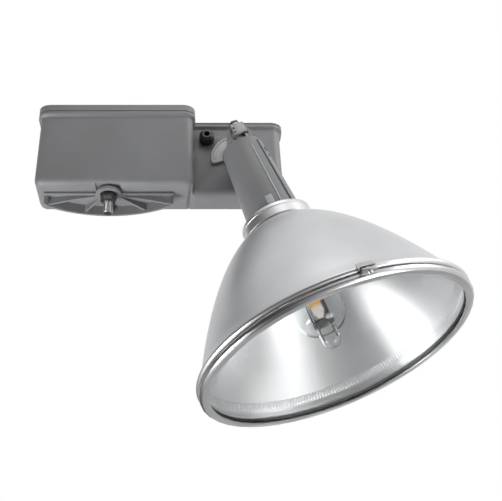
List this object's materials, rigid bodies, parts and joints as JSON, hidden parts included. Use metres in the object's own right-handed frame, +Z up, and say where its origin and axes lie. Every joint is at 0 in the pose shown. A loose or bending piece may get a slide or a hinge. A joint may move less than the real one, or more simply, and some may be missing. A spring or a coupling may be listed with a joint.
{
  "type": "area floodlight",
  "caption": "Ballast housing on a ribbed fan base with a tilting, round spun-reflector lamp head and hinged lens door.",
  "frame": {"origin": "on the crossarm bolt's axis, at the seat under the fan base's hub", "axes": "+Z up along the bolt, +Y towards the housing's back, +X along the housing's long side, towards the lamp head"},
  "size_m": [0.9509, 0.6123, 0.7661],
  "materials": {
    "painted_casting": "satin grey powder coat",
    "satin_aluminium": "satin",
    "bright_aluminium": "bright",
    "dark_zinc": "dark zinc",
    "zinc_plate": "zinc plated",
    "black_rubber": "matte",
    "black_plastic": "matte",
    "porcelain": "glazed ceramic",
    "brass": "plain",
    "clear_glass": "clear",
    "core_steel": "varnished",
    "copper_coil": "varnished winding",
    "white_card": "matte",
    "nickel_wire": "plain"
  },
  "bodies": {
    "base": {"fan_base": "painted_casting", "flat_washer": "dark_zinc", "hex_nut": "dark_zinc", "mounting_bolt": "dark_zinc", "swivel_washer": "dark_zinc"},
    "housing": {"aiming_scale": "painted_casting", "ballast_coil": "copper_coil", "ballast_core": "core_steel", "ballast_foot_1": "zinc_plate", "ballast_foot_2": "zinc_plate", "ballast_housing": "painted_casting", "capacitor_1": "bright_aluminium", "capacitor_2": "bright_aluminium", "capacitor_strap": "zinc_plate", "cover_gasket": "black_rubber", "cover_screw_1": "zinc_plate", "cover_screw_2": "zinc_plate", "cover_screw_3": "zinc_plate", "cover_screw_4": "zinc_plate", "cover_screw_5": "zinc_plate", "cover_screw_6": "zinc_plate", "gland_body": "black_plastic", "gland_cap": "black_plastic", "gland_locknut": "zinc_plate", "gland_seal": "black_rubber", "housing_cover": "painted_casting", "ignitor": "black_plastic", "pivot_nut": "zinc_plate", "pivot_stem": "zinc_plate", "terminal_block": "white_card"},
    "lamp_head": {"socket_housing": "painted_casting", "clamp_block": "satin_aluminium", "clamp_bolt": "black_plastic", "clamp_washer": "zinc_plate", "reflector": "satin_aluminium", "neck_collar": "bright_aluminium", "collar_seal": "black_rubber", "collar_screw_1": "zinc_plate", "collar_screw_2": "zinc_plate", "collar_screw_3": "zinc_plate", "collar_screw_4": "zinc_plate", "hinge_leaf": "zinc_plate", "hinge_pin": "zinc_plate", "catch_tab": "zinc_plate", "lamp_socket": "porcelain", "socket_screw_shell": "brass", "socket_contact": "brass", "socket_bracket": "zinc_plate", "lamp_base": "brass", "lamp_bulb": "clear_glass", "arc_tube": "clear_glass", "lamp_shroud": "clear_glass", "lamp_frame": "nickel_wire"},
    "lens_door": {"door_ring": "bright_aluminium", "lens_glass": "clear_glass", "lens_gasket": "black_rubber", "door_screw": "zinc_plate"}
  },
  "joints": [
    {"name": "housing_swivel", "type": "hinge", "parent": "base", "child": "housing", "pos_m": [0, 0, 0.01], "axis": [0, 0, 1], "range_deg": [-60, 60]},
    {"name": "head_tilt", "type": "hinge", "parent": "housing", "child": "lamp_head", "pos_m": [0.303, -0.04722, 0.114], "axis": [0, -0.9968, 0.0802], "range_deg": [-30, 45]},
    {"name": "door_swing", "type": "hinge", "parent": "lamp_head", "child": "lens_door", "pos_m": [0.77301, -0.08255, -0.32503], "axis": [0, -0.9968, 0.0802], "range_deg": [0, 100]}
  ]
}
